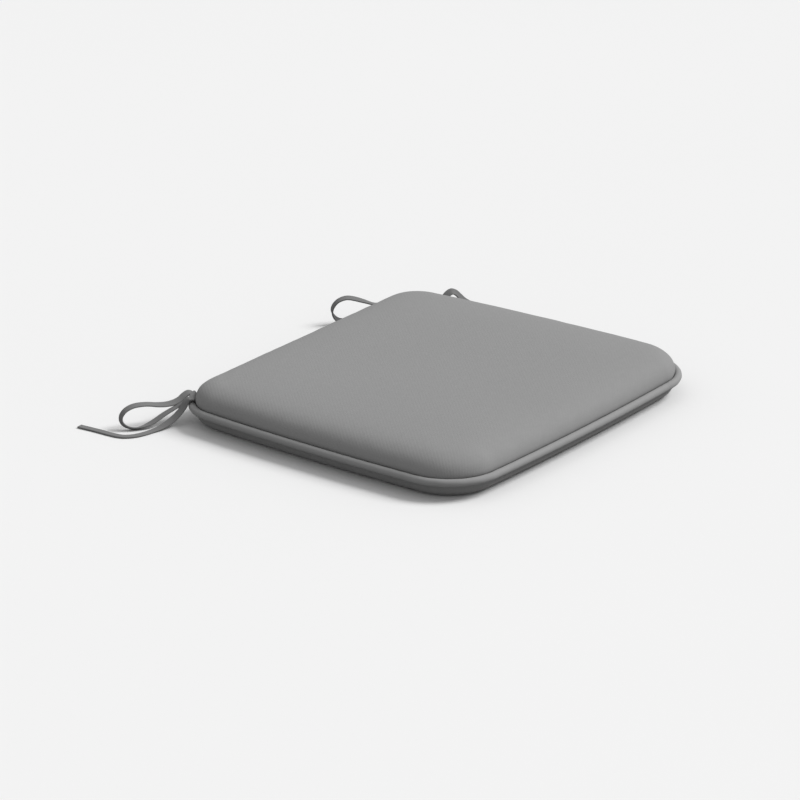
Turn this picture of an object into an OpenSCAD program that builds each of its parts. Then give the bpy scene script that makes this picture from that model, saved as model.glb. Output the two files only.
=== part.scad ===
// Chair seat pad: a foam slab in a piped two-panel cover, with a rear zip and a tie at each rear corner.
// Millimetres. The pad lies flat on z = 0, its front edge faces -Y, and the origin is under its middle.

/* [Pad outline] */
// Width across the front edge, along the seam, before the corners are rounded
front_w = 392; // [340:1:430]
// Width across the rear edge, along the seam, before the corners are rounded
rear_w = 368; // [330:1:420]
// Depth from the front seam to the rear seam
depth = 342; // [320:1:400]
// Radius of the two front corners, along the seam
front_r = 54; // [48:1:60]
// Radius of the two rear corners, along the seam
rear_r = 44; // [40:1:54]
// How far the middles of the front and of the flanks bow outwards
side_bow = 3; // [0:0.5:5]

/* [Pad height] */
// Height of the piping's centre above the bottom panel's face
seam_z = 17.5; // [17.5:0.1:19]
// Height of the crown at the middle of the pad
crown_z = 47; // [46.5:0.5:52]
// Thickness of the woven cover fabric with its backing
fabric_t = 0.9; // [0.6:0.1:0.9]

/* [Piping] */
// Outer radius of the finished piping
piping_r = 3.7; // [3.2:0.1:3.7]
// Radius of the filler cord inside the piping
piping_cord_r = 2.7; // [2.2:0.1:2.7]

/* [Ties] */
// Width of a tie strand
tie_w = 7; // [5:0.5:7]
// Thickness of a tie strand
tie_t = 1.6; // [1:0.1:1.6]

/* [Zip] */
// Length of the zip chain along the rear edge
zip_l = 232; // [160:8:232]
// Spacing of the teeth in one row
tooth_pitch = 4; // [4:1:8]

/* [Hidden] */

cover_colour = [0.45, 0.45, 0.45];
tie_colour = [0.38, 0.38, 0.38];
foam_colour = [0.93, 0.88, 0.70];
wadding_colour = [0.95, 0.95, 0.93];
zip_colour = [0.30, 0.30, 0.30];
metal_colour = [0.62, 0.62, 0.64];

// ---- Plan outline: a trapezoid with round corners, the front and the flanks bowed, the rear straight ----
front_y = (side_bow - depth) / 2;
rear_y = front_y + depth;
flank_a = atan((front_w - rear_w) / 2 / depth);
arc_steps = 8;
side_steps = 6;
least_r = 12;

// The corners in turn, counter-clockwise from the front right:
// [+1 right or -1 left, +1 front or -1 rear, first angle, last angle, bow of the side that follows]
corners = [[1, 1, -90, flank_a, side_bow], [1, -1, flank_a, 90, 0],
    [-1, -1, 90, 180 - flank_a, side_bow], [-1, 1, 180 - flank_a, 270, side_bow]];

// Centre of the arc that touches both sides of a corner when they are moved in by d
function corner_centre(right, front, d) =
    let (y = front > 0 ? front_y + d : rear_y - d)
    [right * (front_w / 2 - (y - front_y) * tan(flank_a) - d / cos(flank_a)), y];

function seam_r(front) = front > 0 ? front_r : rear_r;

function corner_arc(c, inset) =
    let (r = max(seam_r(c[1]) - inset, least_r), m = corner_centre(c[0], c[1], inset + r))
    [for (k = [0:arc_steps]) let (a = c[2] + (c[3] - c[2]) * k / arc_steps) m + r * [cos(a), sin(a)]];

// Points between two arcs, along a side whose outward normal is at angle a
function side_points(p, q, a, bow) =
    [for (k = [1:side_steps - 1]) let (t = k / side_steps)
        p + (q - p) * t + bow * 4 * t * (1 - t) * [cos(a), sin(a)]];

// One closed ring of the outline, moved in from the seam by inset; the bow fades towards the middle
function ring(inset) =
    let (fade = max(0, 1 - 2 * inset / depth))
    [for (i = [0:3])
        let (c = corners[i], arc = corner_arc(c, inset), next = corner_arc(corners[(i + 1) % 4], inset))
        each concat(arc, side_points(arc[arc_steps], next[0], c[3], c[4] * fade))];

// The ring of a profile point [inset, height]
function ring_at(p) = [for (q = ring(p[0])) [q[0], q[1], p[1]]];

// A closed solid through rings of equal length, the first facing down and the last facing up
module loft(rings) {
    n = len(rings[0]);
    last = (len(rings) - 1) * n;
    polyhedron(
        points = [for (r = rings) each r],
        faces = concat(
            [[for (i = [0:n - 1]) i]],
            [for (j = [0:len(rings) - 2], i = [0:n - 1]) let (a = j * n, b = a + n, k = (i + 1) % n)
                each [[a + i, b + i, a + k], [a + k, b + i, b + k]]],
            [[for (i = [n - 1:-1:0]) last + i]]));
}

// A closed loop of one section along the seam; section points are [outwards, up], counter-clockwise
module seam_sweep(section) {
    path = ring(0);
    n = len(path);
    m = len(section);
    function outward(i) = let (d = path[(i + 1) % n] - path[(i + n - 1) % n]) [d[1], -d[0]] / norm(d);
    polyhedron(
        points = [for (i = [0:n - 1], s = section)
            let (q = path[i] + s[0] * outward(i)) [q[0], q[1], seam_z + s[1]]],
        faces = [for (i = [0:n - 1], k = [0:m - 1]) let (a = i * m, b = (i + 1) % n * m, l = (k + 1) % m)
            each [[a + k, a + l, b + k], [a + l, b + l, b + k]]]);
}

// ---- Cover panels: profiles as [inset from the seam, height], from the seam to the middle ----
top_profile = [[4.1, seam_z + 0.3], [3.9, seam_z + 1.7], [3.1, seam_z + 3.4], [2.8, seam_z + 5.6],
    [3.2, seam_z + 8.2], [4.5, seam_z + 11.5], [6.8, seam_z + 14.8], [10.2, seam_z + 17.8],
    [15, crown_z - 9], [22, crown_z - 6.5], [32, crown_z - 4.3], [46, crown_z - 2.5], [70, crown_z - 1],
    [110, crown_z - 0.2], [150, crown_z]];
bottom_profile = [[4.1, seam_z - 0.3], [3.9, seam_z - 1.7], [3.3, seam_z - 3.6], [3.5, seam_z - 6.6],
    [4.4, 8], [6, 5], [8.6, 2.6], [12, 0.8], [16, 0], [150, 0]];

// A profile moved into the pad by the fabric's thickness; up is +1 on the top panel and -1 on the bottom one
function inner_profile(profile, up) =
    let (last = len(profile) - 1)
    [for (i = [0:last])
        let (d = profile[min(i + 1, last)] - profile[max(i - 1, 0)], n = up * [d[1], -d[0]] / norm(d))
        profile[i] + fabric_t * (i == 0 ? [1, 0] : i == last ? [0, -up] : n)];

module panel(profile, up) {
    last = len(profile) - 1;
    inner = inner_profile(profile, up);
    first_skin = up > 0 ? inner : profile;
    second_skin = up > 0 ? profile : inner;
    loft(concat([for (i = [last:-1:0]) ring_at(first_skin[i])], [for (p = second_skin) ring_at(p)]));
}

module top_panel() color(cover_colour) panel(top_profile, 1);

// The bottom panel's rear edge is cut back where the zip closes the cover
module bottom_panel() {
    notch_l = zip_l + 8;
    color(cover_colour)
        difference() {
            panel(bottom_profile, -1);
            translate([-notch_l / 2, rear_y - 12, notch_z]) cube([notch_l, 20, seam_z]);
        }
}

// ---- Piping: a bias strip wrapped round a filler cord, open by a slit on the side that is sewn in ----
module piping_cover() {
    slit_a = 12;
    turns = 14;
    function arc(r, from, to) =
        [for (k = [0:turns]) let (a = from + (to - from) * k / turns) r * [cos(a), sin(a)]];
    color(cover_colour)
        seam_sweep(concat(arc(piping_r, slit_a - 180, 180 - slit_a),
            arc(piping_cord_r + 0.1, 180 - slit_a, slit_a - 180)));
}

module piping_cord() {
    sides = 12;
    color(wadding_colour)
        seam_sweep([for (k = [0:sides - 1]) piping_cord_r * [cos(k * 360 / sides), sin(k * 360 / sides)]]);
}

// ---- Filling: a foam slab between two sheets of wadding ----
layer_gap = 0.3;
crown_gap = 1.5;
foam_inset = 9.5;
foam_edge = 5;
foam_low_z = 3.3;
foam_high_z = 31;

module foam_core()
    color(foam_colour)
    loft([for (p = [[foam_edge, foam_low_z], [1.5, foam_low_z + 2], [0, foam_low_z + foam_edge],
        [0, foam_high_z - foam_edge], [1.5, foam_high_z - 2], [foam_edge, foam_high_z]])
        ring_at([foam_inset + p[0], p[1]])]);

// The upper sheet fills the cover's crown
module wadding_top()
    color(wadding_colour)
    loft(concat([ring_at([12, foam_high_z + layer_gap])],
        [for (i = [7:len(top_profile) - 1]) ring_at(top_profile[i] + [4, -fabric_t - crown_gap])]));

module wadding_bottom()
    color(wadding_colour)
    loft([ring_at([18, fabric_t + layer_gap]), ring_at([14, foam_low_z - layer_gap])]);

// ---- Zip: its chain runs straight along the rear edge, under the piping ----
chain_z = 9.2;
notch_z = 6;
tape_t = 0.8;
tape_y = rear_y - 7.4;
tape_low_z = 5.3;
tape_high_z = seam_z - 0.3;
tape_split = 0.2;
tooth_l = 1.5;
tooth_d = 1.6;
tooth_h = 2.6;
tooth_lap = 0.6;
stop_l = 2;
slider_l = 9;
slider_h = 5.6;
slider_wall = 0.6;
slider_play = 0.2;
slider_x = -(zip_l - slider_l) / 2 + 1;
plate_y = tape_y + tooth_d + slider_play;
plate_t = 1;
pin_y = rear_y - 2.9;
pin_r = 0.6;
eye_r = 1.3;
lug_t = 0.8;
pull_w = 3;
pull_l = 20;
pull_t = 1;

module zip_tape(low_z, high_z)
    color(zip_colour)
    translate([-zip_l / 2 - 3, tape_y - tape_t, low_z]) cube([zip_l + 6, tape_t, high_z - low_z]);

module zip_tape_upper() zip_tape(chain_z + tape_split / 2, tape_high_z);
module zip_tape_lower() zip_tape(tape_low_z, chain_z - tape_split / 2);

// One row of teeth; the rows are half a pitch apart and their tips pass each other
module zip_teeth(low_z, first_x)
    color(zip_colour)
    for (k = [0:zip_l / tooth_pitch - 1])
        translate([first_x + k * tooth_pitch, tape_y, low_z]) cube([tooth_l, tooth_d, tooth_h]);

module zip_teeth_upper() zip_teeth(chain_z - tooth_lap, -zip_l / 2 + 0.2);
module zip_teeth_lower() zip_teeth(chain_z + tooth_lap - tooth_h, -zip_l / 2 + 0.2 + tooth_pitch / 2);

module zip_stop(x)
    color(zip_colour)
    translate([x, tape_y, chain_z - 2]) cube([stop_l, tooth_d, 4]);

module zip_stop_left() zip_stop(-zip_l / 2 - stop_l - 0.3);
module zip_stop_right() zip_stop(zip_l / 2 + 0.3);

// The slider is a saddle over both rows, with two lugs that hold the pull's pin upright
module zip_slider()
    color(metal_colour)
    translate([slider_x, 0, chain_z]) {
        translate([-slider_l / 2, plate_y, -slider_h / 2]) cube([slider_l, plate_t, slider_h]);
        for (side = [-1, 1])
            translate([-slider_l / 2, tape_y + slider_play,
                side > 0 ? slider_h / 2 - slider_wall : -slider_h / 2])
                cube([slider_l, tooth_d + 0.1, slider_wall]);
        for (side = [-1, 1])
            translate([0, 0, side > 0 ? pull_w / 2 + 0.3 : -pull_w / 2 - 0.3 - lug_t])
                linear_extrude(lug_t) {
                    translate([0, pin_y]) circle(r = eye_r, $fn = 32);
                    translate([-eye_r, plate_y + plate_t - 0.1])
                        square([2 * eye_r, pin_y - plate_y - plate_t + 0.1]);
                }
        translate([0, pin_y, -pull_w / 2 - 0.5]) cylinder(r = pin_r, h = pull_w + 1, $fn = 32);
    }

// The pull swings on the slider's pin; at rest it lies along the chain
module zip_pull()
    color(metal_colour)
    translate([slider_x, pin_y, chain_z - pull_w / 2])
    linear_extrude(pull_w)
    difference() {
        union() {
            circle(r = eye_r, $fn = 32);
            translate([0, -pull_t / 2]) square([pull_l, pull_t]);
            translate([pull_l, 0]) circle(d = pull_t, $fn = 24);
        }
        circle(r = pin_r + 0.08, $fn = 32);
    }

// ---- Ties: each is one folded strip, sewn into the seam above the piping with a loop and a tail ----
// Where each tie is sewn, as the outward direction on the corner's arc
left_root_a = 127;
right_root_a = 58;

// Routes as [out from the seam, along the seam to the left when looking out, height]
left_loop_route = [
    [0.4, -11, 24.2], [4, -10, 25.2], [8, -7.5, 23.4], [12, -4.5, 20.6], [18, -1, 18.6], [25, 2.5, 18.2],
    [33, 6.5, 19.4], [41, 10.5, 21.4], [49, 14.5, 22.4], [56, 17.5, 21.8], [62, 20, 19], [65.5, 21.8, 15],
    [66.5, 22.8, 11], [65, 23.6, 7], [61, 23.8, 3.8], [55, 23.2, 2], [48, 21, 2.2], [41, 18, 3.8],
    [34, 14, 6.8], [27, 10, 10.6], [20, 6, 13.8], [13.5, 2, 16.6], [9, -1, 19],
    [5.5, -2.8, 21.4], [2.4, -3.5, 23.4]];
left_tail_route = [
    [0.6, 4.2, 24.2], [3, 4.6, 24.6], [5.5, 5.5, 22], [8, 7, 17.5], [12, 9.5, 12.5], [17.5, 13, 7.8],
    [24, 18, 4.2], [31, 23.5, 1.9], [38, 29, 1], [45, 35, 1], [52, 39.5, 1], [59, 41.5, 1], [66, 41, 1],
    [75, 36, 1], [85, 29, 1], [95, 22, 1], [106, 15, 1]];
right_loop_route = [
    [0.4, 7.5, 24.2], [4, 8.5, 25], [8, 12, 22.4], [10.5, 18, 19.4], [12, 25, 19.2], [13.5, 34, 22.6],
    [15.5, 44, 26], [17, 52, 27.4], [18, 59.5, 25.4], [18.6, 64.5, 20.8], [18.9, 66.5, 15], [19.4, 64.5, 9],
    [20, 59.5, 4], [20, 52, 1.8], [19, 44, 2.4], [17.5, 36, 5.4], [16, 29, 9.4], [15, 21, 12.4],
    [14, 13.5, 14.4], [12, 7, 16.4], [9, 2, 18.8], [5.5, 0.4, 21.4], [2.4, 0, 23.4]];
right_tail_route = [
    [0.6, -7.5, 24.2], [3, -8, 24.8], [6, -9.5, 22], [8.5, -12, 17.5], [11.5, -16, 12.5], [15, -21, 8],
    [19.5, -27, 4.4], [24, -34, 2], [28, -41, 1.1], [31, -48, 1.2], [33, -54, 2.8], [34.5, -59, 6.4],
    [35.5, -63.5, 10.2], [36, -68, 12], [36.5, -72.5, 10], [35.5, -77, 5.4], [32.5, -80.5, 1.8],
    [27, -83, 1], [21, -84, 1]];

function root_centre(a) = corner_centre(cos(a) > 0 ? 1 : -1, -1, rear_r);

// A route's points in the pad's frame, for a tie that is sewn on at angle a
function laid_out(route, a) =
    let (out = [cos(a), sin(a)], along = [-sin(a), cos(a)], seam = root_centre(a) + rear_r * out)
    [for (p = route) let (q = seam + p[0] * out + p[1] * along) [q[0], q[1], p[2]]];

// A flat strip along a route; its width stays level, or in a loop is carried over the bends from
// its level start
module strip(route, loops) {
    n = len(route);
    function heading(i) = let (d = route[min(i + 1, n - 1)] - route[max(i - 1, 0)]) d / norm(d);
    function carry(i, w) = let (d = heading(i), v = w - (w * d) * d) v / norm(v);
    function level(i) = let (w = cross([0, 0, 1], heading(i))) w / norm(w);
    across = [for (i = 0, w = level(0); i < n;
        i = i + 1, w = loops ? carry(min(i, n - 1), w) : level(min(i, n - 1))) w];
    e = tie_t / 2;
    half = [[-tie_w / 2, -e / 2], [e - tie_w / 2, -e], [tie_w / 2 - e, -e], [tie_w / 2, -e / 2]];
    section = concat(half, -half);
    m = len(section);
    polyhedron(
        points = [for (i = [0:n - 1], s = section)
            route[i] + s[0] * across[i] + s[1] * cross(across[i], heading(i))],
        faces = concat(
            [[for (k = [m - 1:-1:0]) k]],
            [for (i = [0:n - 2], k = [0:m - 1]) let (a = i * m, b = a + m, l = (k + 1) % m)
                each [[a + k, a + l, b + k], [a + l, b + l, b + k]]],
            [[for (k = [0:m - 1]) (n - 1) * m + k]]));
}

module tie_left_loop() color(tie_colour) strip(laid_out(left_loop_route, left_root_a), true);
module tie_left_tail() color(tie_colour) strip(laid_out(left_tail_route, left_root_a), false);
module tie_right_loop() color(tie_colour) strip(laid_out(right_loop_route, right_root_a), true);
module tie_right_tail() color(tie_colour) strip(laid_out(right_tail_route, right_root_a), false);

// The stitched tack that holds a tie's two strands in the groove above the piping
tack_l = 24;
tack_d = 1.6;
tack_h = 1.6;
tack_inset = 1.2;

module tack(a, mid) {
    m = root_centre(a);
    color(tie_colour)
        translate([m[0], m[1], seam_z + 5.8])
        rotate(a)
        translate([rear_r - tack_inset - tack_d, mid - tack_l / 2, 0])
        cube([tack_d, tack_l, tack_h]);
}

module tack_left() tack(left_root_a, -4);
module tack_right() tack(right_root_a, 0);

foam_core();
wadding_top();
wadding_bottom();
top_panel();
bottom_panel();
piping_cover();
piping_cord();
tack_left();
tack_right();
tie_left_loop();
tie_left_tail();
tie_right_loop();
tie_right_tail();
zip_tape_upper();
zip_tape_lower();
zip_teeth_upper();
zip_teeth_lower();
zip_stop_left();
zip_stop_right();
zip_slider();
zip_pull();
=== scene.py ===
"""Looks for the chair seat pad: a piped two-panel cover over foam and wadding, two ties and a rear zip.

Everything is in metres, in the CAD model's frame. Lengths written in millimetres carry the factor MM.
"""
import math

import bmesh
import bpy
from mathutils import Matrix, Vector, noise


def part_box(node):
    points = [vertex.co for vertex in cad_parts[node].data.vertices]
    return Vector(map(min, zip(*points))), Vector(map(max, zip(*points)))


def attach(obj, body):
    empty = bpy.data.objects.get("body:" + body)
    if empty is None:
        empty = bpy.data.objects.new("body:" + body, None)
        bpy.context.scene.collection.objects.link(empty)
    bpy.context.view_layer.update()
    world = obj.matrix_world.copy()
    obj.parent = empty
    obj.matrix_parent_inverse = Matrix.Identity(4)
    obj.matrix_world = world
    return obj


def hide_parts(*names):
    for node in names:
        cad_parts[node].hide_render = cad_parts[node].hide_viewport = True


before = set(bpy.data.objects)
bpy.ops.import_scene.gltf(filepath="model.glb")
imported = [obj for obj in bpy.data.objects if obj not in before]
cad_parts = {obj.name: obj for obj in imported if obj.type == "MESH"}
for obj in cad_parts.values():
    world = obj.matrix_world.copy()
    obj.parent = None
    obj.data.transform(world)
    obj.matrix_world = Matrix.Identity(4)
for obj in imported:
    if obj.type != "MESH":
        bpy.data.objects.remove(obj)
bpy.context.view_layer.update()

MM = 0.001

# ---- Driving dimensions: the same as the CAD model's, or read from its boxes ----
FRONT_W = 392 * MM
REAR_W = 368 * MM
DEPTH = 342 * MM
FRONT_R = 54 * MM
REAR_R = 44 * MM
SIDE_BOW = 3 * MM
LEAST_R = 12 * MM
FABRIC_T = 0.9 * MM

piping_low, piping_high = (Vector(p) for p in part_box("piping_cover"))
SEAM_Z = (piping_low.z + piping_high.z) / 2
PIPING_R = (piping_high.z - piping_low.z) / 2
CROWN_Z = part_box("top_panel")[1][2]
FRONT_Y = (SIDE_BOW - DEPTH) / 2
REAR_Y = FRONT_Y + DEPTH
FLANK_A = math.atan((FRONT_W - REAR_W) / 2 / DEPTH)

TIE_W = 7 * MM
TIE_T = 1.7 * MM
FLOOR_GAP = 0.1 * MM
LEFT_ROOT_A = 127
RIGHT_ROOT_A = 58


# ---- Camera: the photograph's viewing angle ----
def make_camera():
    azimuth, elevation = math.radians(53.2), math.radians(21.6)
    lens, shift_across, shift_up = 233.6, 0.0056, 0.0502
    out = Vector((-math.sin(azimuth) * math.cos(elevation), -math.cos(azimuth) * math.cos(elevation),
                  math.sin(elevation)))
    data = bpy.data.cameras.new("camera")
    data.lens = lens
    data.sensor_width = 36
    data.shift_x = shift_across
    data.shift_y = shift_up
    camera = bpy.data.objects.new("camera", data)
    camera.location = (-3.708, -2.724, 1.788)
    camera.rotation_euler = out.to_track_quat("Z", "Y").to_euler()
    bpy.context.scene.collection.objects.link(camera)
    bpy.context.scene.camera = camera


# ---- Plan outline ----
# Each corner as (right or left, front or rear, arc start, arc end, bow of the side that follows it)
CORNERS = [(1, 1, -math.pi / 2, FLANK_A, SIDE_BOW),
           (1, -1, FLANK_A, math.pi / 2, 0),
           (-1, -1, math.pi / 2, math.pi - FLANK_A, SIDE_BOW),
           (-1, 1, math.pi - FLANK_A, 1.5 * math.pi, SIDE_BOW)]


def corner_centre(right, front, d):
    y = FRONT_Y + d if front > 0 else REAR_Y - d
    return Vector((right * (FRONT_W / 2 - (y - FRONT_Y) * math.tan(FLANK_A) - d / math.cos(FLANK_A)), y))


def direction(a):
    return Vector((math.cos(a), math.sin(a)))


def ring(inset, arc_steps=24, side_steps=48):
    """The outline moved in from the seam by inset, counter-clockwise from the front right corner."""
    fade = max(0.0, 1 - 2 * inset / DEPTH)
    arcs = []
    for right, front, a0, a1, _ in CORNERS:
        r = max((FRONT_R if front > 0 else REAR_R) - inset, LEAST_R)
        centre = corner_centre(right, front, inset + r)
        arcs.append([centre + r * direction(a0 + (a1 - a0) * k / arc_steps) for k in range(arc_steps + 1)])
    points = []
    for i, (_, _, _, a1, bow) in enumerate(CORNERS):
        p, q = arcs[i][-1], arcs[(i + 1) % 4][0]
        points += arcs[i]
        for k in range(1, side_steps):
            t = k / side_steps
            points.append(p.lerp(q, t) + bow * fade * 4 * t * (1 - t) * direction(a1))
    return points


def root_frame(a_deg):
    """Where a tie is sewn on: the point on the seam, and the directions outward and along the seam."""
    a = math.radians(a_deg)
    right = 1 if math.cos(a) > 0 else -1
    out = direction(a)
    return corner_centre(right, -1, REAR_R) + REAR_R * out, out, Vector((-out.y, out.x))


# ---- Curves ----
def catmull(points, steps):
    """A smooth line through the points, with steps pieces between each two."""
    ends = [2 * points[0] - points[1], *points, 2 * points[-1] - points[-2]]
    line = []
    for a, b, c, d in zip(ends, ends[1:], ends[2:], ends[3:]):
        for k in range(steps):
            t = k / steps
            line.append(0.5 * (2 * b + (c - a) * t + (2 * a - 5 * b + 4 * c - d) * t * t
                               + (3 * b - a - 3 * c + d) * t ** 3))
    line.append(points[-1])
    return line


def length_of(line):
    return sum((q - p).length for p, q in zip(line, line[1:]))


def smoothstep(low, high, x):
    """0 at low, 1 at high and smooth in between; low may be the larger of the two."""
    t = min(1.0, max(0.0, (x - low) / (high - low)))
    return t * t * (3 - 2 * t)


def arc_points(x, y, r, angles):
    return [(x + r * math.cos(a), y + r * math.sin(a)) for a in angles]


def full_turn(steps):
    return [math.tau * k / steps for k in range(steps)]


# ---- Mesh helpers ----
def set_smooth(obj, on=True):
    obj.data.polygons.foreach_set("use_smooth", [on] * len(obj.data.polygons))


def set_weave(obj, weave):
    """Stores each vertex's place in the cloth, which the woven materials read."""
    attribute = obj.data.attributes.new("weave", "FLOAT_VECTOR", "POINT")
    for item, w in zip(attribute.data, weave):
        item.vector = (w[0], w[1], 0)


def object_of(mesh):
    obj = bpy.data.objects.new(mesh.name, mesh)
    bpy.context.scene.collection.objects.link(obj)
    return obj


def mesh_object(name, verts, faces, weave=None):
    mesh = bpy.data.meshes.new(name)
    mesh.from_pydata([tuple(v) for v in verts], [], faces)
    mesh.update()
    obj = object_of(mesh)
    if weave:
        set_weave(obj, weave)
    set_smooth(obj)
    return obj


def object_from(name, bm):
    """An object with the bmesh's faces; the bmesh is freed."""
    mesh = bpy.data.meshes.new(name)
    bm.to_mesh(mesh)
    bm.free()
    return object_of(mesh)


def apply_modifiers(obj):
    depsgraph = bpy.context.evaluated_depsgraph_get()
    depsgraph.update()
    mesh = bpy.data.meshes.new_from_object(obj.evaluated_get(depsgraph))
    obj.modifiers.clear()
    obj.data = mesh


def bevel(obj, width):
    modifier = obj.modifiers.new("bevel", "BEVEL")
    modifier.width = width
    modifier.segments = 2
    modifier.limit_method = "ANGLE"
    apply_modifiers(obj)


def extruded(name, outline, low, high, axis="y"):
    """A closed plate from an outline of (x, z) or (x, y) points, between two levels on the other axis."""
    n = len(outline)
    place = (lambda p, h: (p[0], h, p[1])) if axis == "y" else (lambda p, h: (p[0], p[1], h))
    verts = [place(p, h) for h in (low, high) for p in outline]
    faces = [tuple(range(n)), tuple(range(2 * n - 1, n - 1, -1))]
    faces += [(i, i + n, (i + 1) % n + n, (i + 1) % n) for i in range(n)]
    obj = mesh_object(name, verts, faces)
    tidy_normals(obj)
    set_smooth(obj, False)
    return obj


def tidy_normals(obj):
    bm = bmesh.new()
    bm.from_mesh(obj.data)
    bmesh.ops.recalc_face_normals(bm, faces=bm.faces)
    bm.to_mesh(obj.data)
    bm.free()


def joined(name, objects):
    """One object from several, whose own objects go."""
    bm = bmesh.new()
    for o in objects:
        bm.from_mesh(o.data)
    for o in objects:
        bpy.data.objects.remove(o)
    return object_from(name, bm)


# ---- Materials ----
COVER_GREY = (0.285, 0.285, 0.285)
# The piping's grey is lighter than the cover's as painted light: it brightens the piping as its highlight
# would.
PIPING_GREY_WITH_PAINTED_LIGHT = (0.31, 0.31, 0.31)
# The ties' grey is darker than the cover's as painted shade: it stands in for the shadow the strands lie in.
TIE_GREY_WITH_PAINTED_SHADE = (0.20, 0.20, 0.20)
TAPE_GREY = (0.12, 0.12, 0.12)
THREAD_GREY = (0.2, 0.2, 0.2)
FOAM_YELLOW = (0.83, 0.76, 0.52)
WADDING_WHITE = (0.86, 0.86, 0.84)
NYLON_BLACK = (0.06, 0.06, 0.065)
GUNMETAL = (0.32, 0.32, 0.34)
BIAS_TURN = math.pi / 4
NARROW_RIB = 1.7 * MM


class Nodes:
    """A short way to write a node material."""

    def __init__(self, name):
        self.material = bpy.data.materials.new(name)
        self.material.use_nodes = True
        self.tree = self.material.node_tree
        self.shader = self.tree.nodes["Principled BSDF"]

    def node(self, kind, **inputs):
        made = self.tree.nodes.new(kind)
        for key, value in inputs.items():
            self.feed(made.inputs[key], value)
        return made

    def feed(self, socket, value):
        if isinstance(value, bpy.types.NodeSocket):
            self.tree.links.new(value, socket)
        else:
            socket.default_value = value

    def math(self, operation, a, b=0.0, c=0.0):
        made = self.tree.nodes.new("ShaderNodeMath")
        made.operation = operation
        for socket, value in zip(made.inputs, (a, b, c)):
            self.feed(socket, value)
        return made.outputs[0]

    def noise(self, vector, scale, detail=2.0):
        made = self.tree.nodes.new("ShaderNodeTexNoise")
        self.feed(made.inputs["Vector"], vector)
        made.inputs["Scale"].default_value = scale
        made.inputs["Detail"].default_value = detail
        return made.outputs["Fac"]

    def remap(self, value, low, high):
        made = self.tree.nodes.new("ShaderNodeMapRange")
        self.feed(made.inputs["Value"], value)
        made.inputs["To Min"].default_value = low
        made.inputs["To Max"].default_value = high
        return made.outputs["Result"]

    def grey(self, base, factor):
        """base times a factor, as a colour."""
        made = self.tree.nodes.new("ShaderNodeMix")
        made.data_type = "RGBA"
        made.blend_type = "MULTIPLY"
        made.inputs[0].default_value = 1
        made.inputs[6].default_value = (*base, 1)
        self.feed(made.inputs[7], factor)
        return made.outputs[2]

    def bump(self, height, distance):
        made = self.tree.nodes.new("ShaderNodeBump")
        made.inputs["Distance"].default_value = distance
        self.feed(made.inputs["Height"], height)
        return made.outputs["Normal"]

    def coordinates(self, attribute):
        """A named attribute's vector, or the object's own coordinates."""
        if attribute:
            made = self.tree.nodes.new("ShaderNodeAttribute")
            made.attribute_name = attribute
            return made.outputs["Vector"]
        return self.tree.nodes.new("ShaderNodeTexCoord").outputs["Object"]

    def finish(self, colour, roughness, normal, metallic=0.0, sheen=0.0):
        self.feed(self.shader.inputs["Base Color"], colour)
        self.feed(self.shader.inputs["Roughness"], roughness)
        self.feed(self.shader.inputs["Normal"], normal)
        self.shader.inputs["Metallic"].default_value = metallic
        self.shader.inputs["Sheen Weight"].default_value = sheen
        self.shader.inputs["Sheen Roughness"].default_value = 0.5
        self.shader.inputs["Specular IOR Level"].default_value = 0.25
        return self.material


THREAD_PITCH = 0.85 * MM
WEAVE_RELIEF = 0.13 * MM
PLY_PITCH = 0.5 * MM


def woven(name, base, turn=0.0, rib=3.0 * MM, rib_depth=0.3, attribute="weave"):
    """A plain weave with faint ribs, in coordinates that follow the cloth."""
    n = Nodes(name)
    source = n.coordinates(attribute)
    rotate = n.tree.nodes.new("ShaderNodeVectorRotate")
    rotate.rotation_type = "Z_AXIS"
    n.feed(rotate.inputs["Vector"], source)
    rotate.inputs["Angle"].default_value = turn
    split = n.node("ShaderNodeSeparateXYZ", Vector=rotate.outputs[0])
    across, along = split.outputs[0], split.outputs[1]
    warp = n.math("SINE", n.math("MULTIPLY", across, math.tau / THREAD_PITCH))
    weft = n.math("SINE", n.math("MULTIPLY", along, math.tau / THREAD_PITCH))
    checks = n.math("MULTIPLY_ADD", n.math("MULTIPLY", warp, weft), 0.5, 0.5)
    ribs = n.math("MULTIPLY_ADD", n.math("SINE", n.math("MULTIPLY", across, math.tau / rib)), 0.5, 0.5)
    slubs = n.noise(source, 900, 3)
    heather = n.noise(source, 160, 4)
    clouds = n.noise(source, 9, 2)
    height = n.math("ADD", n.math("MULTIPLY", checks, 0.45),
                    n.math("ADD", n.math("MULTIPLY", ribs, rib_depth), n.math("MULTIPLY", slubs, 0.35)))
    # The colour is darker in the valleys of the weave and the ribs, which is painted shade; the heather and
    # cloud noise add random tone.
    shade = n.math("MULTIPLY", n.remap(checks, 0.93, 1.03),
                   n.math("MULTIPLY", n.remap(ribs, 0.994, 1.004), n.remap(heather, 0.95, 1.05)))
    shade = n.math("MULTIPLY", shade, n.remap(clouds, 0.98, 1.02))
    return n.finish(n.grey(base, shade), n.remap(heather, 0.82, 0.97), n.bump(height, WEAVE_RELIEF),
                    sheen=0.12)


def foam_material():
    n = Nodes("foam")
    source = n.coordinates(None)
    cells = n.tree.nodes.new("ShaderNodeTexVoronoi")
    n.feed(cells.inputs["Vector"], source)
    cells.inputs["Scale"].default_value = 900
    # The colour is darker in the pits of the cells, which is painted shade; the noise adds random tone.
    shade = n.math("MULTIPLY", n.remap(cells.outputs["Distance"], 0.82, 1.05),
                   n.remap(n.noise(source, 14), 0.94, 1.04))
    return n.finish(n.grey(FOAM_YELLOW, shade), 0.95, n.bump(cells.outputs["Distance"], 0.4 * MM))


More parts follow.
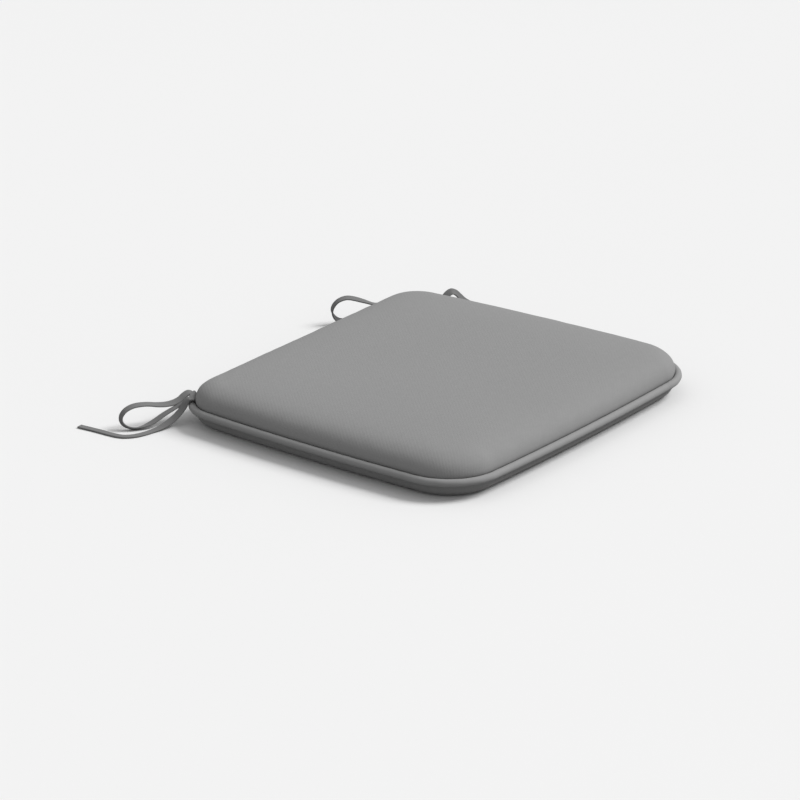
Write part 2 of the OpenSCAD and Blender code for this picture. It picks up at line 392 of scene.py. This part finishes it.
def wadding_material():
    n = Nodes("wadding")
    source = n.coordinates(None)
    fibres = n.noise(source, 420, 8)
    shade = n.remap(fibres, 0.86, 1.06)
    return n.finish(n.grey(WADDING_WHITE, shade), 0.95, n.bump(fibres, 0.6 * MM), sheen=0.2)


def nylon_material():
    n = Nodes("zip_nylon")
    grain = n.noise(n.coordinates(None), 1500, 3)
    return n.finish(n.grey(NYLON_BLACK, n.remap(grain, 0.85, 1.15)), n.remap(grain, 0.35, 0.5),
                    n.bump(grain, 0.03 * MM))


def metal_material():
    n = Nodes("zip_gunmetal")
    source = n.coordinates(None)
    scuffs = n.noise(source, 350, 6)
    wear = n.noise(source, 60, 2)
    return n.finish(n.grey(GUNMETAL, n.remap(wear, 0.8, 1.15)), n.remap(scuffs, 0.28, 0.5),
                    n.bump(scuffs, 0.02 * MM), metallic=1.0)


def thread_material():
    n = Nodes("sewing_thread")
    source = n.coordinates(None)
    split = n.node("ShaderNodeSeparateXYZ", Vector=source)
    slant = n.math("ADD", split.outputs[0], split.outputs[2])
    ply = n.math("SINE", n.math("MULTIPLY", slant, math.tau / PLY_PITCH))
    # The colour is darker in the grooves between the plies, which is painted shade.
    return n.finish(n.grey(THREAD_GREY, n.remap(ply, 0.85, 1.1)), 0.6, n.bump(ply, 0.05 * MM))


def paint(obj, material):
    obj.data.materials.clear()
    obj.data.materials.append(material)


COVER = woven("cover_weave", COVER_GREY, turn=BIAS_TURN)
BIAS_WEAVE_WITH_PAINTED_LIGHT = woven("piping_weave_painted_light", PIPING_GREY_WITH_PAINTED_LIGHT, turn=BIAS_TURN, rib=NARROW_RIB)
TIE_WEAVE_WITH_PAINTED_SHADE = woven("tie_weave_painted_shade", TIE_GREY_WITH_PAINTED_SHADE, rib=NARROW_RIB)
TAPE = woven("zip_tape_weave", TAPE_GREY, rib=1.2 * MM, rib_depth=0.8, attribute=None)
FOAM, WADDING = foam_material(), wadding_material()
NYLON, METAL, THREAD = nylon_material(), metal_material(), thread_material()


# ---- Ties ----
# Routes as [out from the seam, along the seam, height] in millimetres, as in the CAD model
LEFT_LOOP = [[0.4, -11, 24.2], [4, -10, 25.2], [8, -7.5, 23.4], [12, -4.5, 20.6], [18, -1, 18.6],
             [25, 2.5, 18.2], [33, 6.5, 19.4], [41, 10.5, 21.4], [49, 14.5, 22.4], [56, 17.5, 21.8],
             [62, 20, 19], [65.5, 21.8, 15], [66.5, 22.8, 11], [65, 23.6, 7], [61, 23.8, 3.8],
             [55, 23.2, 2], [48, 21, 2.2], [41, 18, 3.8], [34, 14, 6.8], [27, 10, 10.6], [20, 6, 13.8],
             [13.5, 2, 16.6], [9, -1, 19], [5.5, -2.8, 21.4], [2.4, -3.5, 23.4]]
LEFT_TAIL = [[0.6, 4.2, 24.2], [3, 4.6, 24.6], [5.5, 5.5, 22], [8, 7, 17.5], [12, 9.5, 12.5],
             [17.5, 13, 7.8], [24, 18, 4.2], [31, 23.5, 1.9], [38, 29, 1], [45, 35, 1], [52, 39.5, 1],
             [59, 41.5, 1], [66, 41, 1], [75, 36, 1], [85, 29, 1], [95, 22, 1], [106, 15, 1]]
RIGHT_LOOP = [[0.4, 7.5, 24.2], [4, 8.5, 25], [8, 12, 22.4], [10.5, 18, 19.4], [12, 25, 19.2],
             [13.5, 34, 22.6], [15.5, 44, 26], [17, 52, 27.4], [18, 59.5, 25.4], [18.6, 64.5, 20.8],
             [18.9, 66.5, 15], [19.4, 64.5, 9], [20, 59.5, 4], [20, 52, 1.8], [19, 44, 2.4],
             [17.5, 36, 5.4], [16, 29, 9.4], [15, 21, 12.4], [14, 13.5, 14.4], [12, 7, 16.4], [9, 2, 18.8],
             [5.5, 0.4, 21.4], [2.4, 0, 23.4]]
RIGHT_TAIL = [[0.6, -7.5, 24.2], [3, -8, 24.8], [6, -9.5, 22], [8.5, -12, 17.5], [11.5, -16, 12.5],
             [15, -21, 8], [19.5, -27, 4.4], [24, -34, 2], [28, -41, 1.1], [31, -48, 1.2], [33, -54, 2.8],
             [34.5, -59, 6.4], [35.5, -63.5, 10.2], [36, -68, 12], [36.5, -72.5, 10], [35.5, -77, 5.4],
             [32.5, -80.5, 1.8], [27, -83, 1], [21, -84, 1]]


def laid_out(route, root_a):
    seam, out, along = root_frame(root_a)
    points = []
    for o, l, z in route:
        q = seam + o * MM * out + l * MM * along
        points.append(Vector((q.x, q.y, z * MM)))
    return points


def tape_section():
    """Half-round edges and a slightly hollow face, as (across, up) points."""
    e = TIE_T / 2
    w = TIE_W / 2 - e
    turns = [math.radians(x) for x in (-90, -50, -15, 15, 50, 90)]
    right = arc_points(w, 0, e, turns)
    top = [(w * f, e * h) for f, h in ((0.72, 0.86), (0.3, 0.8), (-0.3, 0.8), (-0.72, 0.86))]
    half = right + top
    return half + [(-x, -y) for x, y in half]


LINE_WANDER = 0.25 * MM
WIDTH_CHANGE = 0.03


def tape(name, route, root_a, rolls, loops):
    """A folded strip of cloth along a route, rolled about its own line by {point number: degrees}."""
    fine = 8
    points = laid_out(route, root_a)
    line = catmull(points, fine)
    count = len(line)
    marks = sorted(rolls.items())

    def roll(i):
        at = i / fine
        before = [m for m in marks if m[0] <= at][-1]
        after = [m for m in marks if m[0] >= at][0]
        t = 0 if after[0] == before[0] else smoothstep(before[0], after[0], at)
        return math.radians(before[1] + (after[1] - before[1]) * t)

    def heading(i):
        return (line[min(i + 1, count - 1)] - line[max(i - 1, 0)]).normalized()

    section = tape_section()
    m = len(section)
    verts, weave = [], []
    across = Vector((0, 0, 1)).cross(heading(0)).normalized()
    walked = 0.0
    for i, p in enumerate(line):
        ahead = heading(i)
        if not loops:
            across = Vector((0, 0, 1)).cross(ahead)
        across = (across - across.dot(ahead) * ahead).normalized()
        side = Matrix.Rotation(roll(i), 3, ahead) @ across
        up = ahead.cross(side)
        walked += (p - line[i - 1]).length if i else 0
        wander = LINE_WANDER * noise.noise(Vector((walked * 60, root_a, 3.1)))
        stretch = 1 + WIDTH_CHANGE * noise.noise(Vector((walked * 90, 7, root_a)))
        for x, y in section:
            verts.append(p + (x * stretch + wander) * side + y * up)
            weave.append((x + (y if abs(x) < TIE_W * 0.4 else 0), walked))
    faces = [(i * m + k, i * m + (k + 1) % m, (i + 1) * m + (k + 1) % m, (i + 1) * m + k)
             for i in range(count - 1) for k in range(m)]
    faces += [tuple(range(m - 1, -1, -1)), tuple((count - 1) * m + k for k in range(m))]
    for v in verts:
        v.z = max(v.z, FLOOR_GAP)
    obj = mesh_object(name.replace("tie_", "tape_"), verts, faces, weave)
    tidy_normals(obj)
    paint(obj, TIE_WEAVE_WITH_PAINTED_SHADE)
    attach(obj, "pad")
    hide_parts(name)
    return obj, line


def make_ties():
    plans = [("tie_left_loop", LEFT_LOOP, LEFT_ROOT_A,
              {0: -20, 3: -28, 8: -14, 13: 0, 15: 5, 18: 38, 21: 30, 24: 0}, True),
             ("tie_left_tail", LEFT_TAIL, LEFT_ROOT_A,
              {0: 0, 3: -28, 5: -24, 8: 0, 16: 0}, False),
             ("tie_right_loop", RIGHT_LOOP, RIGHT_ROOT_A,
              {0: 0, 3: -10, 6: -38, 9: -25, 12: 0, 15: 28, 18: 32, 22: 0}, True),
             ("tie_right_tail", RIGHT_TAIL, RIGHT_ROOT_A,
              {0: 0, 9: 0, 12: 46, 14: 46, 16: 20, 18: 0}, False)]
    for name, route, root_a, rolls, loops in plans:
        obj, line = tape(name, route, root_a, rolls, loops)


TACK_SIZE = Vector((3.2, 11.5, 1.9)) * MM
TACK_IN = 0.4 * MM
TACK_UP = 6.7 * MM
TACK_SQUARENESS = 0.7


def make_tack(name, root_a, middle):
    """The tie's folded end, bunched in the groove above the piping: a squared and slightly lumpy roll."""
    seam, out, along = root_frame(root_a)
    centre = seam - TACK_IN * out + middle * along
    bm = bmesh.new()
    bmesh.ops.create_icosphere(bm, subdivisions=4, radius=1)
    turn = Matrix(((out.x, along.x, 0), (out.y, along.y, 0), (0, 0, 1)))
    for v in bm.verts:
        p = Vector([math.copysign(abs(c) ** TACK_SQUARENESS, c) for c in v.co])
        p *= 1 + 0.10 * noise.noise(p * 2.2 + Vector((root_a, 0, 0)))
        local = p * TACK_SIZE
        local.z += 0.3 * MM * math.cos(p.y * 5)
        local.x -= 0.4 * (middle + local.y) ** 2 / (2 * REAR_R)
        v.co = turn @ local + Vector((centre.x, centre.y, SEAM_Z + TACK_UP))
    obj = object_from(name + "_fold", bm)
    set_smooth(obj)
    set_weave(obj, [(v.co.x + v.co.z, v.co.y) for v in obj.data.vertices])
    paint(obj, TIE_WEAVE_WITH_PAINTED_SHADE)
    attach(obj, "pad")
    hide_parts(name)


# ---- Cover panels ----
# Profiles as (inset from the seam, height) in millimetres
TOP_PROFILE = [(4.1, 17.8), (3.9, 19.2), (3.1, 20.9), (2.8, 23.1), (3.2, 25.7), (4.5, 29), (6.8, 32.3),
               (10.2, 35.3), (15, 38), (22, 40.5), (32, 42.7), (46, 44.5), (70, 46), (110, 46.8), (150, 47)]
BOTTOM_PROFILE = [(4.1, 17.2), (3.9, 15.8), (3.3, 13.9), (3.5, 10.9), (4.4, 8), (6, 5), (8.6, 2.6),
                  (12, 0.8), (16, 0.02), (40, 0.02), (90, 0.02), (150, 0.02)]
SHOULDER = 15 * MM
CROWN_FROM = 60 * MM
SQUARENESS = 6
MIDDLE_Y = (FRONT_Y + REAR_Y) / 2
CROWN_LINE = catmull([Vector(p) * MM for p in TOP_PROFILE if p[0] * MM >= SHOULDER], 12)


def crown_height(inset):
    """The top panel's height at an inset past the shoulder, on a smooth line through its profile."""
    for p, q in zip(CROWN_LINE, CROWN_LINE[1:]):
        if inset <= q.x:
            return p.y + (q.y - p.y) * max(0, inset - p.x) / (q.x - p.x)
    return CROWN_Z


def pillow_inset(x, y):
    """How far a point lies inside a round-cornered oval the size of the pad: an inset without creases."""
    half_w = FRONT_W / 2 - (y - FRONT_Y) * math.tan(FLANK_A)
    half_d = DEPTH / 2
    reach = (abs(x / half_w) ** SQUARENESS + abs((y - MIDDLE_Y) / half_d) ** SQUARENESS) ** (1 / SQUARENESS)
    return max(0, 1 - reach) * half_d


def panel_surface(name, profile, up):
    """An open surface through the profile's rings, with its cloth coordinates as if it were laid flat."""
    pieces = 4
    line = catmull([Vector((a * MM, b * MM)) for a, b in profile], pieces)
    to_centre = [length_of(line[i:]) for i in range(len(line))]
    last_inset = line[-1].x
    centre = Vector((0, MIDDLE_Y))
    verts, weave = [], []
    n = len(ring(0))
    for j, p in enumerate(line):
        flat = ring(last_inset - to_centre[j])
        for q, f in zip(ring(p.x), flat):
            z = max(p.y, 0)
            if up > 0:
                t = smoothstep(SHOULDER, CROWN_FROM, p.x)
                z += t * (crown_height(max(pillow_inset(q.x, q.y), SHOULDER)) - z)
            verts.append(Vector((q.x, q.y, z)))
            weave.append((f.x, f.y))
    rows = len(line)
    for shrink in (0.6, 0.2):
        for q in ring(last_inset):
            p = centre + (q - centre) * shrink
            verts.append(Vector((p.x, p.y, CROWN_Z if up > 0 else verts[-1].z)))
            weave.append((p.x, p.y))
        rows += 1
    verts.append(Vector((centre.x, centre.y, verts[-1].z)))
    weave.append((centre.x, centre.y))
    faces = [(j * n + i, j * n + (i + 1) % n, (j + 1) * n + (i + 1) % n, (j + 1) * n + i)
             for j in range(rows - 1) for i in range(n)]
    faces += [((rows - 1) * n + i, (rows - 1) * n + (i + 1) % n, rows * n) for i in range(n)]
    if up < 0:
        faces = [tuple(reversed(f)) for f in faces]
    return mesh_object(name, verts, faces, weave)


GATHER_DEPTH = 0.35 * MM
GATHERS_FULL = 6 * MM
GATHERS_END = 34 * MM
SWELL = 0.35 * MM


def pucker(obj):
    """Small uneven gathers where the cloth meets the piping, and a slow swell over the middle."""
    mesh = obj.data
    normals = [v.normal.copy() for v in mesh.vertices]
    for v, normal in zip(mesh.vertices, normals):
        x, y, z = v.co
        edge = min(FRONT_W / 2 - abs(x), y - FRONT_Y, REAR_Y - y)
        rim = smoothstep(GATHERS_END, GATHERS_FULL, edge) * smoothstep(0, 5 * MM, abs(z - SEAM_Z))
        wave = noise.noise(Vector((x, y, 0)) * 55) + 0.5 * noise.noise(Vector((x, y, 0.3)) * 120)
        swell = noise.noise(Vector((x, y, 2)) * 11) * smoothstep(8 * MM, 40 * MM, edge)
        v.co += normal * (GATHER_DEPTH * rim * wave + SWELL * swell)


def thicken(obj):
    solid = obj.modifiers.new("cloth thickness", "SOLIDIFY")
    solid.thickness = FABRIC_T
    solid.offset = -1
    solid.use_even_offset = False
    apply_modifiers(obj)


def make_top():
    obj = panel_surface("cushion_top", TOP_PROFILE, 1)
    pucker(obj)
    thicken(obj)
    paint(obj, COVER)
    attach(obj, "pad")
    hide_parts("top_panel")


ZIP_HALF_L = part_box("zip_tape_lower")[1][0]
NOTCH_HALF_L = ZIP_HALF_L + 2 * MM
NOTCH_DEPTH = 12 * MM
NOTCH_LOW = 5.5 * MM


def make_bottom():
    """The lower panel, with a notch in its rear flank for the zip."""
    obj = panel_surface("cushion_bottom", BOTTOM_PROFILE, -1)
    bm = bmesh.new()
    bm.from_mesh(obj.data)
    doomed = [f for f in bm.faces
              if all(abs(v.co.x) < NOTCH_HALF_L and v.co.y > REAR_Y - NOTCH_DEPTH and v.co.z > NOTCH_LOW
                     for v in f.verts)]
    bmesh.ops.delete(bm, geom=doomed, context="FACES")
    bm.to_mesh(obj.data)
    bm.free()
    thicken(obj)
    paint(obj, COVER)
    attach(obj, "pad")
    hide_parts("bottom_panel")


# ---- Piping ----
def make_piping():
    """A bias strip round the filler cord, with its flange running in between the panels."""
    path = ring(0, 32, 64)
    n = len(path)
    steps = 26
    gap = math.radians(6)
    neck, flange = 4.4 * MM, 7.6 * MM
    half = 0.22 * MM
    ripple_h, ripple_l, ripple_round = 0.05 * MM, 2.6 * MM, 3 * MM
    thickness_change = 0.014
    turns = [gap - math.pi + (2 * math.pi - 2 * gap) * k / steps for k in range(steps + 1)]
    section = arc_points(0, 0, PIPING_R, turns)
    section += [(-neck, half), (-flange, half), (-flange, -half), (-neck, -half)]
    m = len(section)
    around = [0.0]
    for p, q in zip(section, section[1:]):
        around.append(around[-1] + math.dist(p, q))
    verts, weave, walked = [], [], 0.0
    for i, p in enumerate(path):
        d = path[(i + 1) % n] - path[i - 1]
        out = Vector((d.y, -d.x)).normalized()
        walked += (p - path[i - 1]).length if i else 0
        swell = 1 + thickness_change * noise.noise(Vector((p.x, p.y, 5)) * 60)
        for (x, z), s in zip(section, around):
            grow = swell if x > -PIPING_R else 1
            ripple = ripple_h * math.sin(walked / ripple_l + s / ripple_round) if x > -PIPING_R * 0.9 else 0
            reach = x * grow + ripple * x / PIPING_R
            height = SEAM_Z + z * grow * (1 + ripple / PIPING_R)
            verts.append(Vector((p.x + reach * out.x, p.y + reach * out.y, height)))
            weave.append((walked, s))
    faces = [(i * m + k, i * m + (k + 1) % m, (i + 1) % n * m + (k + 1) % m, (i + 1) % n * m + k)
             for i in range(n) for k in range(m)]
    obj = mesh_object("piping", verts, faces, weave)
    tidy_normals(obj)
    paint(obj, BIAS_WEAVE_WITH_PAINTED_LIGHT)
    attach(obj, "pad")
    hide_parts("piping_cover")


# ---- Zip ----
TOOTH_W = 1.5 * MM
TOOTH_PITCH = 4 * MM


def make_teeth(name, row):
    """One row of moulded teeth, each with a waist and a rounded head that reaches past the middle."""
    low, high = (Vector(p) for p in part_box(name))
    count = round((high.x - low.x - TOOTH_W) / TOOTH_PITCH) + 1
    tall = high.z - low.z
    half = TOOTH_W / 2
    outline = [(-half, 0), (half, 0), (half, 0.32 * tall), (0.5 * half, 0.5 * tall),
               (0.62 * half, 0.62 * tall), (half, 0.74 * tall), (half * 0.9, 0.9 * tall),
               (half * 0.45, tall), (-half * 0.45, tall), (-half * 0.9, 0.9 * tall),
               (-half, 0.74 * tall), (-0.62 * half, 0.62 * tall), (-0.5 * half, 0.5 * tall),
               (-half, 0.32 * tall)]
    teeth = []
    for k in range(count):
        x = low.x + half + k * TOOTH_PITCH
        points = [(x + a, high.z - b if row > 0 else low.z + b) for a, b in outline]
        teeth.append(extruded("tooth", points, low.y, high.y))
    obj = joined(name + "_moulded", teeth)
    bevel(obj, 0.18 * MM)
    paint(obj, NYLON)
    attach(obj, "pad")
    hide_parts(name)


def make_slider():
    """A shield-shaped plate with two side rails, and two ears that hold the pull's pin."""
    low, high = (Vector(p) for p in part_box("zip_slider"))
    middle = (low + high) / 2
    half_l, half_h = (high.x - low.x) / 2, (high.z - low.z) / 2
    plate_low, plate_t = low.y + 1.8 * MM, 1 * MM
    half_wall, half_lug_t = 0.3 * MM, 0.4 * MM
    lug_r, pin_r, pivot_y = 1.3 * MM, 0.6 * MM, REAR_Y - 2.9 * MM
    shield = [(-half_l, -0.72 * half_h), (-0.2 * half_l, -half_h), (0.7 * half_l, -half_h),
              (half_l, -0.6 * half_h), (0.86 * half_l, 0), (half_l, 0.6 * half_h),
              (0.7 * half_l, half_h), (-0.2 * half_l, half_h), (-half_l, 0.72 * half_h)]
    place = [(middle.x + a, middle.z + b) for a, b in shield]
    parts = [extruded("plate", place, plate_low, plate_low + plate_t)]
    for side in (-1, 1):
        z = middle.z + side * (half_h - half_wall)
        left, right = middle.x - 0.9 * half_l, middle.x + 0.9 * half_l
        rail = [(left, z - half_wall), (right, z - half_wall), (right, z + half_wall), (left, z + half_wall)]
        parts.append(extruded("rail", rail, low.y, plate_low + 0.3 * MM))
    for side in (-1, 1):
        z = middle.z + side * 2.2 * MM
        foot_y = plate_low + 0.6 * MM
        ear = [(middle.x + 1.9 * MM, foot_y), (middle.x - 1.9 * MM, foot_y)]
        ear += arc_points(middle.x, pivot_y, lug_r, [math.pi - math.pi * k / 10 for k in range(11)])
        parts.append(extruded("ear", ear, z - half_lug_t, z + half_lug_t, axis="z"))
    pin = arc_points(middle.x, pivot_y, pin_r, full_turn(20))
    parts.append(extruded("pin", pin, middle.z - 2.75 * MM, middle.z + 2.75 * MM, axis="z"))
    obj = joined("slider_body", parts)
    bevel(obj, 0.15 * MM)
    paint(obj, METAL)
    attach(obj, "slider")
    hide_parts("zip_slider")


def make_pull():
    """A flat tab with a raised grip, on an eye that turns on the slider's pin."""
    low, high = (Vector(p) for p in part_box("zip_pull"))
    outer_r, inner_r, half_w = 1.3 * MM, 0.7 * MM, 1.5 * MM
    half_t, half_grip_t = 0.5 * MM, 0.65 * MM
    pivot_x, pivot_y = low.x + outer_r, (low.y + high.y) / 2
    z = (low.z + high.z) / 2
    tip = high.x
    upper = [(pivot_x + 1 * MM, -1.2), (pivot_x + 5 * MM, -0.95), (tip - 7 * MM, -1.35),
             (tip - 2 * MM, -1.5), (tip - 0.6 * MM, -1.1), (tip, 0)]
    outline = [(a, z + b * MM) for a, b in upper] + [(a, z - b * MM) for a, b in reversed(upper[:-1])]
    tab = extruded("tab", outline, pivot_y - half_t, pivot_y + half_t)
    inset = [(tip - 6.5 * MM, z - 0.7 * MM), (tip - 2.2 * MM, z - 0.8 * MM), (tip - 1.4 * MM, z),
             (tip - 2.2 * MM, z + 0.8 * MM), (tip - 6.5 * MM, z + 0.7 * MM)]
    grip = extruded("grip", inset, pivot_y - half_grip_t, pivot_y + half_grip_t)
    n = 24
    verts = [(x, y, h) for h in (z - half_w, z + half_w) for r in (inner_r, outer_r)
             for x, y in arc_points(pivot_x, pivot_y, r, full_turn(n))]
    faces = []
    for a in range(n):
        b = (a + 1) % n
        faces += [(a, b, n + b, n + a), (2 * n + a, 3 * n + a, 3 * n + b, 2 * n + b),
                  (n + a, n + b, 3 * n + b, 3 * n + a), (a, 2 * n + a, 2 * n + b, b)]
    eye = mesh_object("eye", verts, faces)
    tidy_normals(eye)
    obj = joined("pull_tab", [tab, grip, eye])
    bevel(obj, 0.14 * MM)
    paint(obj, METAL)
    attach(obj, "pull")
    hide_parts("zip_pull")


def make_stitching():
    """A lockstitch row that holds the lower zip tape to the bottom panel, each stitch a thin spindle."""
    stitch, pitch, r = 2.3 * MM, 3.2 * MM, 0.22 * MM
    half_row = ZIP_HALF_L - 3 * MM
    line_y, line_z = REAR_Y - 5.75 * MM, 5.0 * MM
    n = 8
    verts, faces = [], []
    for s in range(int(2 * half_row / pitch)):
        x = -half_row + (s + 0.5) * pitch
        first = len(verts) + 1
        last = first + (n - 2) * n
        verts.append((x - stitch / 2, line_y, line_z))
        for j in range(1, n):
            a = math.pi * j / n
            around = arc_points(line_y, line_z, r * math.sin(a), full_turn(n))
            verts += [(x - stitch / 2 * math.cos(a), y, z) for y, z in around]
        verts.append((x + stitch / 2, line_y, line_z))
        for k in range(n):
            l = (k + 1) % n
            faces += [(first - 1, first + l, first + k), (last + k, last + l, last + n)]
            faces += [(row + k, row + l, row + n + l, row + n + k) for row in range(first, last, n)]
    obj = mesh_object("zip_stitching", verts, faces)
    paint(obj, THREAD)
    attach(obj, "pad")


# ---- Stage ----
def make_stage():
    """A pale floor, which throws less light back on the pad's sides than it shows."""
    n = Nodes("pale_floor")
    tone = n.remap(n.noise(n.coordinates(None), 1.2, 2), 0.99, 1.01)
    thrown_back, more_shown = 0.28, 0.60
    seen = n.tree.nodes.new("ShaderNodeLightPath").outputs["Is Camera Ray"]
    shown = n.math("MULTIPLY", tone, n.math("MULTIPLY_ADD", seen, more_shown, thrown_back))
    n.feed(n.shader.inputs["Base Color"], n.grey((1, 1, 1), shown))
    n.shader.inputs["Roughness"].default_value = 0.7
    n.shader.inputs["Specular IOR Level"].default_value = 0.1
    size = 30
    corners = [(-size, -size, 0), (size, -size, 0), (size, size, 0), (-size, size, 0)]
    floor = mesh_object("floor", corners, [(0, 1, 2, 3)])
    paint(floor, n.material)


def make_lights():
    """An even white sky and one broad, soft key light."""
    world = bpy.data.worlds.new("studio")
    bpy.context.scene.world = world
    world.use_nodes = True
    background = world.node_tree.nodes["Background"]
    background.inputs["Color"].default_value = (1, 1, 1, 1)
    background.inputs["Strength"].default_value = 0.48
    key = bpy.data.lights.new("key", "SUN")
    key.energy = 2.45
    key.angle = math.radians(28)
    lamp = bpy.data.objects.new("key", key)
    lamp.rotation_euler = Vector((0.52, -0.48, 0.7)).to_track_quat("Z", "Y").to_euler()
    bpy.context.scene.collection.objects.link(lamp)


bpy.context.scene.view_settings.view_transform = "Standard"
make_camera()
make_ties()
make_tack("tack_left", LEFT_ROOT_A, -4 * MM)
make_tack("tack_right", RIGHT_ROOT_A, 0)
make_top()
make_bottom()
make_piping()
make_teeth("zip_teeth_upper", 1)
make_teeth("zip_teeth_lower", -1)
make_slider()
make_pull()
make_stitching()
for node, material in (("foam_core", FOAM), ("wadding_top", WADDING), ("wadding_bottom", WADDING),
                       ("piping_cord", WADDING), ("zip_tape_upper", TAPE), ("zip_tape_lower", TAPE),
                       ("zip_stop_left", NYLON), ("zip_stop_right", NYLON)):
    paint(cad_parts[node], material)
make_stage()
make_lights()
